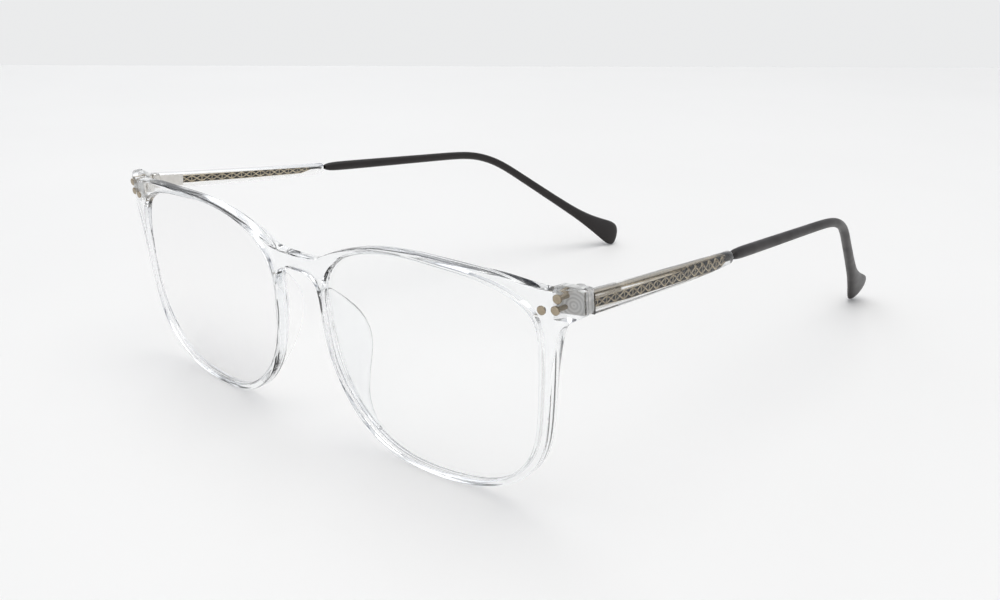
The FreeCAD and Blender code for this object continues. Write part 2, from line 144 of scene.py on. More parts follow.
# %% [markdown]
# A bmesh becomes an object in one place: it is moved to the row frame, and mirrored for the
# wearer's right side when asked. Its normals are recalculated, and it gets smooth shading with
# sharp folds kept. It is then tied to its body and given its materials, and the CAD node it
# stands in for is hidden.

# %% Finishing a piece
def sharpen(mesh, degrees):
    """Smooth shading, with edges steeper than an angle kept sharp."""
    mesh.normal_update()
    limit = math.radians(degrees)
    for face in mesh.faces:
        face.smooth = True
    for edge in mesh.edges:
        edge.smooth = len(edge.link_faces) == 2 and edge.calc_face_angle(0.0) < limit


def piece(name, mesh, place, body, slot, nodes, materials, fold=32.0, soft=0):
    """An object from a bmesh drawn in its own frame, riding on a body of the frame."""
    mesh.transform(place)
    bmesh.ops.recalc_face_normals(mesh, faces=mesh.faces[:])
    sharpen(mesh, fold)
    data = bpy.data.meshes.new(name)
    mesh.to_mesh(data)
    for material in materials:
        data.materials.append(material)
    made = bpy.data.objects.new(name, data)
    bpy.context.scene.collection.objects.link(made)
    if soft:
        modifier = made.modifiers.new("Subdivision", "SUBSURF")
        modifier.levels = modifier.render_levels = soft
    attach(made, body)
    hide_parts(*nodes)
    print(name, len(data.vertices), "vertices,", len(data.polygons), "faces")
    return made


def pair(name, mesh, place, bodies, slot, materials, **extra):
    """A piece for the wearer's left side and its mirror image for the right side."""
    for side, body, flip in (("left", bodies[0], Matrix()), ("right", bodies[1], MIRROR)):
        node = name + "_" + side
        piece(node.replace("_", "-"), mesh.copy(), flip @ place, body, slot, [node], materials, **extra)
    mesh.free()


TEMPLES = ("left_temple", "right_temple")
FRONTS = ("front", "front")

# %% [markdown]
# ## Materials
# Moulded acetate isn't perfectly even. One node group makes the faint waviness of a polished
# surface and the fine handling marks on it, and every clear or dark plastic uses it with its own
# numbers.

# %% Shared polish marks
def new_group(name, inputs, outputs):
    """An empty node group with float inputs and named outputs."""
    group = bpy.data.node_groups.new(name, "ShaderNodeTree")
    for label, value in inputs:
        socket = group.interface.new_socket(name=label, in_out="INPUT", socket_type="NodeSocketFloat")
        socket.default_value = value
    for label, kind in outputs:
        group.interface.new_socket(name=label, in_out="OUTPUT", socket_type=kind)
    return group, group.nodes.new("NodeGroupInput"), group.nodes.new("NodeGroupOutput")


def noise(tree, vector, scale, detail=3.0):
    """A noise texture that reads a vector."""
    node = tree.nodes.new("ShaderNodeTexNoise")
    node.inputs["Detail"].default_value = detail
    if isinstance(scale, (int, float)):
        node.inputs["Scale"].default_value = scale
    else:
        tree.links.new(scale, node.inputs["Scale"])
    tree.links.new(vector, node.inputs["Vector"])
    return node.outputs["Fac"]


def ramp(tree, value, low, high, start, end):
    """A value mapped from one range to another, clamped."""
    node = tree.nodes.new("ShaderNodeMapRange")
    tree.links.new(value, node.inputs["Value"])
    for label, number in (("From Min", low), ("From Max", high), ("To Min", start), ("To Max", end)):
        if isinstance(number, (int, float)):
            node.inputs[label].default_value = number
        else:
            tree.links.new(number, node.inputs[label])
    return node.outputs["Result"]


polish, polish_in, polish_out = new_group(
    "polish marks",
    [("Wave Scale", 90.0), ("Wave Height", 0.02), ("Clean Roughness", 0.02), ("Worn Roughness", 0.08)],
    [("Roughness", "NodeSocketFloat"), ("Normal", "NodeSocketVector")])
place_node = polish.nodes.new("ShaderNodeTexCoord")
object_place = place_node.outputs["Object"]
waves = noise(polish, object_place, polish_in.outputs["Wave Scale"], 1.0)
smudge = noise(polish, object_place, 160.0, 4.0)
polish.links.new(ramp(polish, smudge, 0.45, 0.75, polish_in.outputs["Clean Roughness"],
                      polish_in.outputs["Worn Roughness"]), polish_out.inputs["Roughness"])
ripple = polish.nodes.new("ShaderNodeBump")
ripple.inputs["Distance"].default_value = 0.001
polish.links.new(polish_in.outputs["Wave Height"], ripple.inputs["Strength"])
polish.links.new(waves, ripple.inputs["Height"])
polish.links.new(ripple.outputs["Normal"], polish_out.inputs["Normal"])

# %% [markdown]
# Clear acetate is a glass shader with acetate's refractive index. A lamp's shadow ray passes
# mostly straight through it, which keeps the shadow on the table as light as that of real clear
# plastic. The lens and the milled pocket are the same recipe with other numbers.

# %% Clear plastics
def fresh(name):
    """A new material with a Principled shader, ready for links."""
    material = bpy.data.materials.new(name)
    material.use_nodes = True
    tree = material.node_tree
    return material, tree, tree.nodes["Principled BSDF"]


def add_polish(tree, shader, wave_scale, wave_height, clean, worn):
    """Places the polish group and links it to a shader."""
    node = tree.nodes.new("ShaderNodeGroup")
    node.node_tree = polish
    for label, number in (("Wave Scale", wave_scale), ("Wave Height", wave_height),
                          ("Clean Roughness", clean), ("Worn Roughness", worn)):
        node.inputs[label].default_value = number
    tree.links.new(node.outputs["Roughness"], shader.inputs["Roughness"])
    tree.links.new(node.outputs["Normal"], shader.inputs["Normal"])


def tinted(tree, shader, dark, light, scale):
    """A faint cloudy tint between two colours."""
    coords = tree.nodes.new("ShaderNodeTexCoord")
    mix = tree.nodes.new("ShaderNodeMix")
    mix.data_type = "RGBA"
    mix.inputs["A"].default_value = (*dark, 1.0)
    mix.inputs["B"].default_value = (*light, 1.0)
    tree.links.new(noise(tree, coords.outputs["Object"], scale), mix.inputs["Factor"])
    tree.links.new(mix.outputs["Result"], shader.inputs["Base Color"])


def clear_plastic(name, dark, light, ior, clean, worn, wave_height, shade, clear=1.0):
    """A clear plastic whose shadow is only as dark as its shade."""
    material, tree, shader = fresh(name)
    shader.inputs["Transmission Weight"].default_value = clear
    shader.inputs["IOR"].default_value = ior
    tinted(tree, shader, dark, light, 60.0)
    add_polish(tree, shader, 70.0, wave_height, clean, worn)
    rays = tree.nodes.new("ShaderNodeLightPath")
    through = tree.nodes.new("ShaderNodeBsdfTransparent")
    through.inputs["Color"].default_value = (shade, shade, shade * 1.01, 1.0)
    mix = tree.nodes.new("ShaderNodeMixShader")
    tree.links.new(rays.outputs["Is Shadow Ray"], mix.inputs["Fac"])
    tree.links.new(shader.outputs["BSDF"], mix.inputs[1])
    tree.links.new(through.outputs["BSDF"], mix.inputs[2])
    tree.links.new(mix.outputs["Shader"], tree.nodes["Material Output"].inputs["Surface"])
    return material


clear_acetate = clear_plastic("clear acetate", (0.965, 0.975, 0.985), (0.985, 0.99, 0.99), 1.49,
                              0.0, 0.03, 0.004, 0.86)
milled_acetate = clear_plastic("milled acetate", (0.72, 0.72, 0.71), (0.97, 0.97, 0.96), 1.02,
                               0.4, 0.55, 0.3, 0.8, 0.3)
sleeve_acetate = clear_plastic("sleeve acetate", (0.96, 0.96, 0.95), (0.98, 0.98, 0.975), 1.49,
                               0.0, 0.03, 0.03, 0.86)
lens_clear = clear_plastic("demo lens", (0.985, 0.99, 0.99), (0.995, 0.997, 0.997), 1.5,
                           0.0, 0.012, 0.004, 0.97)

# %% [markdown]
# An end mill leaves round tool marks on a pocket's floor. A wave texture in rings about the middle
# of the pocket takes over the tint of the milled plastic. The distance across is measured from
# the middle of the glasses, so that one pattern serves both sides.

# %% Tool marks in the milled pockets
MILL_CENTRE = (0.0636, 0.0398)
MILL_SCALE, MILL_WANDER = 480.0, 1.5


def shifted(tree, value, amount):
    """A value less an amount."""
    node = tree.nodes.new("ShaderNodeMath")
    node.operation = "SUBTRACT"
    node.inputs[1].default_value = amount
    tree.links.new(value, node.inputs[0])
    return node.outputs["Value"]


tree = milled_acetate.node_tree
coords = tree.nodes.new("ShaderNodeTexCoord")
split = tree.nodes.new("ShaderNodeSeparateXYZ")
tree.links.new(coords.outputs["Object"], split.inputs["Vector"])
across = tree.nodes.new("ShaderNodeMath")
across.operation = "ABSOLUTE"
tree.links.new(split.outputs["X"], across.inputs[0])
from_centre = tree.nodes.new("ShaderNodeCombineXYZ")
tree.links.new(shifted(tree, across.outputs["Value"], MILL_CENTRE[0]), from_centre.inputs["X"])
tree.links.new(shifted(tree, split.outputs["Z"], MILL_CENTRE[1]), from_centre.inputs["Z"])
rings = tree.nodes.new("ShaderNodeTexWave")
rings.wave_type = "RINGS"
rings.rings_direction = "SPHERICAL"
rings.inputs["Scale"].default_value = MILL_SCALE
rings.inputs["Distortion"].default_value = MILL_WANDER
tree.links.new(from_centre.outputs["Vector"], rings.inputs["Vector"])
mix = next(node for node in tree.nodes if node.bl_idname == "ShaderNodeMix")
tree.links.new(rings.outputs["Fac"], mix.inputs["Factor"])

# %% [markdown]
# The dark tips are a satin injected plastic: nearly black brown, with a soft sheen and a little
# handling wear. The hinge metals are nickel silver. The core is an old bronze with nearly black
# recesses, and its raised braid catches the light.

# %% Dark plastic and metals
tip_dark, tree, shader = fresh("tip plastic")
shader.inputs["IOR"].default_value = 1.42
shader.inputs["Specular IOR Level"].default_value = 0.3
shader.inputs["Coat Weight"].default_value = 0.05
shader.inputs["Coat Roughness"].default_value = 0.35
tinted(tree, shader, (0.014, 0.012, 0.012), (0.026, 0.022, 0.021), 140.0)
add_polish(tree, shader, 220.0, 0.05, 0.34, 0.48)


def metal(name, dark, light, clean, worn, scale):
    """A metal whose colour and polish vary a little."""
    material, tree, shader = fresh(name)
    shader.inputs["Metallic"].default_value = 1.0
    tinted(tree, shader, dark, light, scale)
    add_polish(tree, shader, 900.0, 0.12, clean, worn)
    return material


nickel = metal("nickel silver", (0.6, 0.58, 0.55), (0.8, 0.78, 0.74), 0.22, 0.42, 900.0)
rivet_nickel = metal("rivet nickel", (0.28, 0.23, 0.165), (0.48, 0.41, 0.31), 0.24, 0.4, 1500.0)
screw_steel = metal("screw steel", (0.6, 0.59, 0.57), (0.75, 0.74, 0.72), 0.14, 0.3, 900.0)

bronze, tree, shader = fresh("old bronze")
shader.inputs["Metallic"].default_value = 1.0
raised = tree.nodes.new("ShaderNodeAttribute")
raised.attribute_name = "raised"
coords = tree.nodes.new("ShaderNodeTexCoord")
patina = noise(tree, coords.outputs["Object"], 700.0, 5.0)
height = tree.nodes.new("ShaderNodeMix")
height.data_type = "RGBA"
height.inputs["A"].default_value = (0.006, 0.005, 0.004, 1.0)
height.inputs["B"].default_value = (0.5, 0.42, 0.29, 1.0)
tree.links.new(ramp(tree, raised.outputs["Fac"], 0.2, 0.7, 0.0, 1.0), height.inputs["Factor"])
worn = tree.nodes.new("ShaderNodeMix")
worn.data_type = "RGBA"
worn.blend_type = "MULTIPLY"
worn.inputs["Factor"].default_value = 1.0
grey = tree.nodes.new("ShaderNodeCombineColor")
for channel in ("Red", "Green", "Blue"):
    tree.links.new(ramp(tree, patina, 0.3, 0.7, 0.7, 1.15), grey.inputs[channel])
tree.links.new(height.outputs["Result"], worn.inputs["A"])
tree.links.new(grey.outputs["Color"], worn.inputs["B"])
tree.links.new(worn.outputs["Result"], shader.inputs["Base Color"])
tree.links.new(ramp(tree, raised.outputs["Fac"], 0.2, 0.8, 0.6, 0.26), shader.inputs["Roughness"])

# %% [markdown]
# ## The front
# The front is one flat sheet on the drawing: an outline with two lens openings. A fill makes the
# flat face. Each boundary loop is then extruded edge by edge down the wall, through a rounded
# edge, the lens groove on the openings, and a second rounded edge, to a copy of the flat face.

# %% The front's drawing
FRONT_OUTLINE = [
    (0.0, 37.0), (6.8, 37.0), (7.3, 38.2), (20.2, 42.5), (31.7, 43.4), (43.8, 42.9),
    (52.3, 42.9), (59.0, 41.8), (64.2, 42.2), (65.9, 42.3), (66.7, 42.3), (66.7, 41.3),
    (66.7, 39.0), (66.7, 37.9), (65.8, 37.4), (63.9, 36.3), (63.1, 35.7), (62.6, 34.4),
    (61.5, 30.0), (60.7, 24.0), (59.8, 16.3), (58.9, 12.3), (56.6, 7.6), (50.8, 3.0),
    (44.7, 1.0), (38.1, -0.1), (31.2, 0.0), (24.1, 0.6), (17.8, 3.2), (12.1, 8.4),
    (8.3, 15.4), (6.3, 23.5), (7.0, 34.3), (0.9, 33.7), (0.0, 33.7)]
LENS_OPENING = [
    (58.7, 27.9), (58.8, 36.2), (55.2, 38.8), (48.4, 41.3), (37.2, 41.8), (27.9, 42.6),
    (12.8, 39.6), (7.1, 32.2), (8.2, 24.8), (8.8, 14.7), (16.8, 5.5), (25.3, 1.3),
    (37.4, 1.1), (49.5, 2.9), (56.7, 10.4), (57.9, 18.5)]
half_outline = flat_line(FRONT_OUTLINE, False, 8)
flipped = [Vector((-point.x, 0.0, point.z)) for point in half_outline]
front_loop = half_outline + flipped[-2:0:-1]
opening_loop = flat_line(LENS_OPENING, True, 12)
other_opening = [Vector((-point.x, 0.0, point.z)) for point in opening_loop]
print("outline points:", len(front_loop), "opening points:", len(opening_loop))


def away(loop, inside_is_solid):
    """At each point of a closed loop, the unit direction on the drawing out of the solid."""
    area = sum(a.x * b.z - b.x * a.z for a, b in zip(loop, loop[1:] + loop[:1]))
    sign = (1 if area > 0 else -1) * (1 if inside_is_solid else -1)
    normals = []
    for before, after in zip(loop[-1:] + loop[:-1], loop[1:] + loop[:1]):
        along = (after - before).normalized()
        normals.append(Vector((along.z, 0.0, -along.x)) * sign)
    return normals


# %% [markdown]
# One function carries a loop of edges to its next position. Extruding edges returns new vertices
# in no set order, so each new vertex is matched to the old one it hangs from.

# %% Extruding a loop of edges
def loop_edges(ring):
    """The edges that join a ring's vertices in order."""
    edges = []
    for a, b in zip(ring, ring[1:] + ring[:1]):
        edges.append(next(edge for edge in a.link_edges if edge.other_vert(a) is b))
    return edges


def next_ring(mesh, ring, positions):
    """Extrudes a ring of vertices to new positions, and returns the new ring in order."""
    order = {vertex: number for number, vertex in enumerate(ring)}
    grown = bmesh.ops.extrude_edge_only(mesh, edges=loop_edges(ring))
    new_ring = [None] * len(ring)
    for item in grown["geom"]:
        if isinstance(item, bmesh.types.BMVert):
            neighbours = [edge.other_vert(item) for edge in item.link_edges]
            parent = next(vertex for vertex in neighbours if vertex in order)
            new_ring[order[parent]] = item
    for vertex, position in zip(new_ring, positions):
        vertex.co = position
    return new_ring


def filled(mesh, rings, depth):
    """Fills flat between closed rings of points at a depth, holes left open."""
    made = []
    for ring in rings:
        corners = [mesh.verts.new((point.x, depth, point.z)) for point in ring]
        edges = [mesh.edges.new((a, b)) for a, b in zip(corners, corners[1:] + corners[:1])]
        made.append((corners, edges))
    every_edge = [edge for corners, edges in made for edge in edges]
    bmesh.ops.triangle_fill(mesh, use_beauty=True, edges=every_edge, normal=(0, -1, 0))
    return [corners for corners, edges in made]


# %% [markdown]
# The wall's profile is a list of steps: how far out from the loop, and how deep. The lens groove
# isn't at a fixed depth, because its two sides follow the spheres of the lens.

# %% Front walls, edges and grooves
ROUND = 0.38
MARGIN = 0.16
GROOVE = 0.5
LENS_GAP = 0.03
quarter = [math.radians(angle) for angle in (0, 22.5, 45, 67.5, 90)]
front_edge = [(-ROUND * (1 - math.sin(a)), ROUND * (1 - math.cos(a))) for a in quarter]
back_edge = [(offset, RIM_DEPTH - depth) for offset, depth in reversed(front_edge)]


def lens_surface(across, up, radius):
    """Depth behind the drawing of a sphere that is concentric with the lens."""
    x, z = LENS_CENTRE
    normal = Vector((-x, FACE_RADIUS, 0)).normalized()
    centre = Vector((x, sag(x), z)) + normal * LENS_RADIUS
    reach = radius ** 2 - (abs(across) - centre.x) ** 2 - (up - centre.z) ** 2
    return centre.y - math.sqrt(reach)


def groove_wall(across, up, behind):
    """Depth of one side of the lens groove, on the flat drawing."""
    radius = LENS_RADIUS - LENS_THICKNESS if behind else LENS_RADIUS
    gap = LENS_GAP if behind else -LENS_GAP
    return lens_surface(across, up, radius) + gap - sag(across)


front = bmesh.new()
loops = [(front_loop, away(front_loop, True), False), (opening_loop, away(opening_loop, False), True),
         (other_opening, away(other_opening, False), True)]
inner_rings = [[p - n * (ROUND + MARGIN) for p, n in zip(loop, normals)] for loop, normals, _ in loops]
rings = filled(front, inner_rings, 0.0)
flat_faces = front.faces[:]
for ring, (loop, normals, grooved) in zip(rings, loops):
    profile = [(offset, depth, None) for offset, depth in front_edge]
    if grooved:
        profile += [(0.0, None, False), (-GROOVE, None, False), (-GROOVE, None, True), (0.0, None, True)]
    profile += [(offset, depth, None) for offset, depth in back_edge]
    for offset, depth, behind in profile + [(-ROUND - MARGIN, RIM_DEPTH, None)]:
        spots = []
        for point, normal in zip(loop, normals):
            flat = point + normal * offset
            back = depth if behind is None else groove_wall(flat.x, flat.z, behind)
            spots.append(Vector((flat.x, back, flat.z)))
        ring = next_ring(front, ring, spots)
copied = bmesh.ops.duplicate(front, geom=flat_faces)
bmesh.ops.translate(front, vec=(0, RIM_DEPTH, 0),
                    verts=[item for item in copied["geom"] if isinstance(item, bmesh.types.BMVert)])
bmesh.ops.remove_doubles(front, verts=front.verts[:], dist=0.002)

# %% [markdown]
# Cuts across the sheet let it bend round the face. Closer cuts give the end pieces their deeper
# back, which slopes to the temple, their swept front, and the milled pocket that holds the hinge
# leaf. The pocket's floor takes the milled plastic.

# %% End blocks, pockets and the face curve
BLOCK_LOW, BLOCK_IN = 36.4, 60.6
BLOCK_RISE, BLOCK_RAMP = 0.12, 0.8
STRIP, STRIPS_A_SIDE = 2.5, 24
END_CUTS = (62.3, 63.1, 63.9, 64.7, 66.0)
POCKET = ((61.12, 65.52), (37.55, 41.6))
POCKET_DEPTH = 1.27


def cut_across(mesh, normal, positions, keep=None):
    """Cuts the faces that keep accepts along parallel planes."""
    for position in positions:
        faces = [f for f in mesh.faces if keep is None or keep(f.calc_center_median())]
        near = set(faces)
        near.update(edge for face in faces for edge in face.edges)
        near.update(vertex for face in faces for vertex in face.verts)
        bmesh.ops.bisect_plane(mesh, geom=list(near), dist=0.0005,
                               plane_co=[part * position for part in normal], plane_no=normal)


def on_end_piece(centre):
    """True beyond the lens, where the hinge is."""
    return abs(centre.x) > BLOCK_IN and centre.z > BLOCK_LOW - 1


strips = [STRIP * number for number in range(-STRIPS_A_SIDE, STRIPS_A_SIDE + 1)]
ends = (SWEEP_START, BLOCK_IN, BLOCK_IN + BLOCK_RAMP, *POCKET[0], *END_CUTS)
extra = [side * value for side in (-1, 1) for value in ends]
cut_across(front, (1, 0, 0), strips + extra)
cut_across(front, (0, 0, 1), (BLOCK_LOW, BLOCK_LOW + BLOCK_RISE, *POCKET[1]), on_end_piece)
for vertex in front.verts:
    out = abs(vertex.co.x)
    on_block = out > BLOCK_IN + 0.001 and vertex.co.z > BLOCK_LOW + BLOCK_RISE / 2
    if vertex.co.y > RIM_DEPTH / 2 and on_block:
        block_back = END_BACK + (out - HALF_WIDTH) * math.tan(CONVERGE) - sag(out)
        share = min(1.0, (out - BLOCK_IN) / BLOCK_RAMP)
        vertex.co.y += (block_back - RIM_DEPTH) * share
    else:
        sweep = front_face(out) - sag(out)
        vertex.co.y += sweep * max(0.0, 1.0 - vertex.co.y / RIM_DEPTH)
front.normal_update()
floors = []
for face in front.faces:
    centre = face.calc_center_median()
    inside = (POCKET[0][0] < abs(centre.x) < POCKET[0][1]
              and POCKET[1][0] < centre.z < POCKET[1][1])
    if inside and centre.y > RIM_DEPTH + 0.3:
        floors.append(face)
sunk = bmesh.ops.extrude_face_region(front, geom=floors)
bmesh.ops.delete(front, geom=[face for face in floors if face.is_valid], context="FACES_ONLY")
sunk_verts = [item for item in sunk["geom"] if isinstance(item, bmesh.types.BMVert)]
bmesh.ops.translate(front, vec=(0, -POCKET_DEPTH, 0), verts=sunk_verts)
for vertex in sunk_verts:
    for face in vertex.link_faces:
        face.material_index = 1
for vertex in front.verts:
    vertex.co.y += sag(vertex.co.x)
print("front:", len(front.verts), "vertices,",
      sum(1 for edge in front.edges if len(edge.link_faces) != 2), "open edges")
piece("front-frame", front, FRONT, "front", "clear_plastic", ["front_frame"],
      [clear_acetate, milled_acetate])

# %% [markdown]
# ## Lenses
# A lens is the opening grown by the depth of the groove, filled, cut into a fine net and pushed
# onto its front sphere. Its back is the same net on the inner sphere.

# %% Lenses
NET = 2.0
lens = bmesh.new()
lens_normals = away(opening_loop, False)
filled(lens, [[p - n * (GROOVE - LENS_GAP) for p, n in zip(opening_loop, lens_normals)]], 0.0)
cut_across(lens, (1, 0, 0), [NET * number for number in range(3, 31)])
cut_across(lens, (0, 0, 1), [NET * number for number in range(0, 23)])
back_side = bmesh.ops.extrude_face_region(lens, geom=lens.faces[:], use_keep_orig=True)
behind = {item for item in back_side["geom"] if isinstance(item, bmesh.types.BMVert)}
for vertex in lens.verts:
    radius = LENS_RADIUS - LENS_THICKNESS if vertex in behind else LENS_RADIUS
    vertex.co.y = lens_surface(vertex.co.x, vertex.co.z, radius)
pair("lens", lens, FRONT, FRONTS, "lens_plastic", [lens_clear])

# %% [markdown]
# ## Nose pads
# Each pad is a thin fin behind the nasal side of the rim, deepest in the middle. A small face is
# extruded down the fin from station to station, and a subdivision surface rounds it.

# %% Nose pads
NOSE_PAD = [
    (31.2, 6.5, 0.6), (29.4, 6.6, 2.4), (27.2, 6.6, 4.3), (24.6, 6.8, 6.0),
    (21.5, 7.2, 6.8), (18.4, 7.9, 6.6), (15.4, 8.9, 5.3), (12.4, 10.2, 3.8),
    (9.4, 12.1, 2.1), (6.4, 14.9, 1.0), (4.4, 17.4, 0.4)]
PAD_SPLAY = 0.45
PAD_GAP = 0.02


def pad_corners(up, edge, reach):
    """The six corners of a pad's section at one station."""
    root = sag(edge) + RIM_DEPTH + PAD_GAP
    run = edge + PAD_SPLAY * reach
    middle = reach * 0.5
    return [Vector(corner) for corner in (
        (edge + 0.1, root, up), (edge + 1.5, root, up),
        (edge + 1.3 + PAD_SPLAY * middle, root + middle, up), (run + 0.8, root + reach, up),
        (run + 0.1, root + reach, up), (edge + 0.1 + PAD_SPLAY * middle, root + middle, up))]


pad = bmesh.new()
corners = [pad.verts.new(corner) for corner in pad_corners(*NOSE_PAD[0])]
pad.faces.new(corners)
for station in NOSE_PAD[1:]:
    corners = next_ring(pad, corners, pad_corners(*station))
pad.faces.new(corners)
bmesh.ops.recalc_face_normals(pad, faces=pad.faces[:])
crease = pad.edges.layers.float.new("crease_edge")
for edge in pad.edges:
    root_ends = [vertex for vertex in edge.verts if vertex in corners]
    edge[crease] = 0.6 if len(root_ends) == 2 else 0.0
pair("nose_pad", pad, FRONT, FRONTS, "clear_plastic", [clear_acetate], fold=60.0, soft=2)

# %% [markdown]
# ## Temples
# The sleeve starts as a tall rounded rectangle and grows rounder towards the tip. One ring of
# twenty-four vertices is extruded along it, and each ring takes the section of its place. The
# hinge leaf's recess is sunk into the inner face before the end is sliced off to meet the end
# piece.

# %% Sleeves
RING_SIDES = 24
SLEEVE_SECTIONS = [
    (-1.2, 2.6, 3.75, -0.08, 0.35), (12.0, 2.6, 3.4, -0.3, 0.4),
    (30.0, 2.6, 3.1, -0.45, 0.6), (41.0, 2.5, 2.9, -0.45, 0.9),
    (48.7, 2.4, 2.6, -0.25, 1.15)]
LEAF_LENGTH, LEAF_HEIGHT, LEAF_THICKNESS = 9.0, 2.6, 0.8
LEAF_MID = -0.08


def between(rows, along):
    """The numbers of a table at a distance along it, eased between its rows."""
    for low, high in zip(rows, rows[1:]):
        if along <= high[0]:
            break
    share = max(0.0, min(1.0, (along - low[0]) / (high[0] - low[0])))
    return [a + (b - a) * share for a, b in zip(low[1:], high[1:])]


def sleeve_ring(along, trim=0.0):
    """Rounded rectangle of the sleeve at a distance from the hinge end."""
    width, height, mid, corner = between(SLEEVE_SECTIONS, along)
    width, height, corner = width - 2 * trim, height - 2 * trim, max(0.3, corner - trim)
    ring = []
    for number, (sx, sz) in enumerate(((1, 1), (-1, 1), (-1, -1), (1, -1))):
        centre_x = -TEMPLE_THICKNESS / 2 + sx * (width / 2 - corner)
        centre_z = mid + sz * (height / 2 - corner)
        for step in range(RING_SIDES // 4):
            angle = math.radians(90 * number + 18 * step)
            ring.append(Vector((centre_x + corner * math.cos(angle), along,
                                centre_z + corner * math.sin(angle))))
    return ring


def extruded(stations):
    """A closed bmesh through rings of positions, all with the same number of corners."""
    mesh = bmesh.new()
    started = bmesh.ops.create_circle(mesh, cap_ends=True, segments=len(stations[0]), radius=1.0)
    ring = started["verts"]
    for vertex, position in zip(ring, stations[0]):
        vertex.co = position
    for positions in stations[1:]:
        ring = next_ring(mesh, ring, positions)
    bmesh.ops.contextual_create(mesh, geom=loop_edges(ring))
    bmesh.ops.recalc_face_normals(mesh, faces=mesh.faces[:])
    return mesh


steps = [-1.2, 0.6] + [1.5 * number for number in range(1, 32)] + [48.3]
stations = [sleeve_ring(along) for along in steps] + [sleeve_ring(48.6, 0.1), sleeve_ring(48.68, 0.35)]
sleeve = extruded(stations)
leaf_low, leaf_high = LEAF_MID - LEAF_HEIGHT / 2, LEAF_MID + LEAF_HEIGHT / 2


def inner_side(centre):
    """True for the sleeve's flat face towards the head, near the hinge."""
    return centre.x < -TEMPLE_THICKNESS + 0.05 and centre.y < LEAF_LENGTH + 3


cut_across(sleeve, (0, 0, 1), (leaf_low, leaf_high), inner_side)
recess = [face for face in sleeve.faces if inner_side(face.calc_center_median())
          and leaf_low < face.calc_center_median().z < leaf_high
          and face.calc_center_median().y < LEAF_LENGTH]
sunk = bmesh.ops.extrude_face_region(sleeve, geom=recess)
bmesh.ops.delete(sleeve, geom=[face for face in recess if face.is_valid], context="FACES_ONLY")
bmesh.ops.translate(sleeve, vec=(LEAF_THICKNESS, 0, 0),
                    verts=[item for item in sunk["geom"] if isinstance(item, bmesh.types.BMVert)])
sleeve.transform(TEMPLE)
butt = END_PIECE @ Vector((0, 0.06, 0))
facing = (END_PIECE.to_3x3() @ Vector((0, 1, 0))).normalized()
sliced = bmesh.ops.bisect_plane(sleeve, geom=sleeve.verts[:] + sleeve.edges[:] + sleeve.faces[:],
                                dist=1e-7, plane_co=butt, plane_no=facing, clear_inner=True)
rim_edges = [item for item in sliced["geom_cut"] if isinstance(item, bmesh.types.BMEdge)]
bmesh.ops.contextual_create(sleeve, geom=rim_edges)
print("sleeve open edges:", sum(1 for edge in sleeve.edges if len(edge.link_faces) != 2))
pair("temple_sleeve", sleeve, Matrix(), TEMPLES, "sleeve_plastic", [sleeve_acetate])

# %% [markdown]
# ## Tips
# A tip is a round rod that bends down behind the ear and leans in to the head, then swells into a
# flat paddle with a square heel. Its line has three stretches, and each stretch has a table of
# sections.

# %% Tip line and sections
TIP_STRAIGHT, BEND_RADIUS, BEND, TIP_END = 47.5, 30.0, math.radians(33.3), 46.2
TIP_ON_STRAIGHT = [(0.0, 2.4, 2.4, 0.0), (0.2, 2.35, 2.35, 0.0), (0.4, 2.3, 2.3, 0.0),
                   (0.6, 2.2, 2.2, 0.0), (0.8, 2.15, 2.15, 0.0), (1.0, 2.1, 2.1, 0.0)]
TIP_ON_BEND = [(0.35, 2.1, 2.1, 0.0), (0.7, 2.15, 2.1, 0.0), (1.0, 2.2, 2.15, 0.0)]
TIP_ON_END = [(0.12, 2.25, 2.2, 0.0), (0.25, 2.35, 2.2, 0.0), (0.38, 2.5, 2.2, 0.0),
              (0.5, 2.7, 2.25, 0.0), (0.6, 2.95, 2.3, 0.05), (0.7, 3.6, 2.35, 0.15),
              (0.8, 4.9, 2.5, 0.35), (0.88, 6.4, 2.5, 0.6), (0.94, 7.6, 2.5, 0.8),
              (0.975, 7.8, 2.4, 0.9), (1.0, 7.2, 2.2, 1.0), (1.015, 6.0, 1.8, 0.95),
              (1.025, 4.4, 1.1, 0.9)]


def on_tip(stretch, share):
    """A point on a tip's middle line, with its slope."""
    if stretch == 0:
        return Vector((0, TIP_STRAIGHT * share, 0)), 0.0
    slope = BEND if stretch == 2 else BEND * share
    point = Vector((0, TIP_STRAIGHT + BEND_RADIUS * math.sin(slope),
                    BEND_RADIUS * (math.cos(slope) - 1)))
    if stretch == 2:
        point += Vector((0, math.cos(slope), -math.sin(slope))) * (TIP_END * share)
    return point, slope


def tip_ring(point, slope, width, thickness, rise, sides=RING_SIDES):
    """An oval ring square to the tip's line, with its middle raised."""
    upward = Vector((0, math.sin(slope), math.cos(slope)))
    point = point + upward * rise
    high = upward * (width / 2)
    ring = []
    for number in range(sides):
        angle = math.tau * number / sides
        ring.append(point + high * math.sin(angle) + Vector((thickness / 2 * math.cos(angle), 0, 0)))
    return ring


stations = []
for stretch, sections in enumerate((TIP_ON_STRAIGHT, TIP_ON_BEND, TIP_ON_END)):
    for share, *section in sections:
        stations.append(tip_ring(*on_tip(stretch, share), *section))
tip = extruded(stations)
pair("temple_tip", tip, TIP, TEMPLES, "tip_plastic", [tip_dark], fold=60.0, soft=2)

# %% [markdown]
# ## Cores
# The core is a flat bronze strip. Its faces carry a raised braid of two waves that cross between
# upright bars, inside a border. A fine grid is laid over the strip and each point is raised by the
# pattern. The height is kept as an attribute too, so that the finish can darken the recesses. A
# round wire goes on from the strip's end, along the middle of the tip.

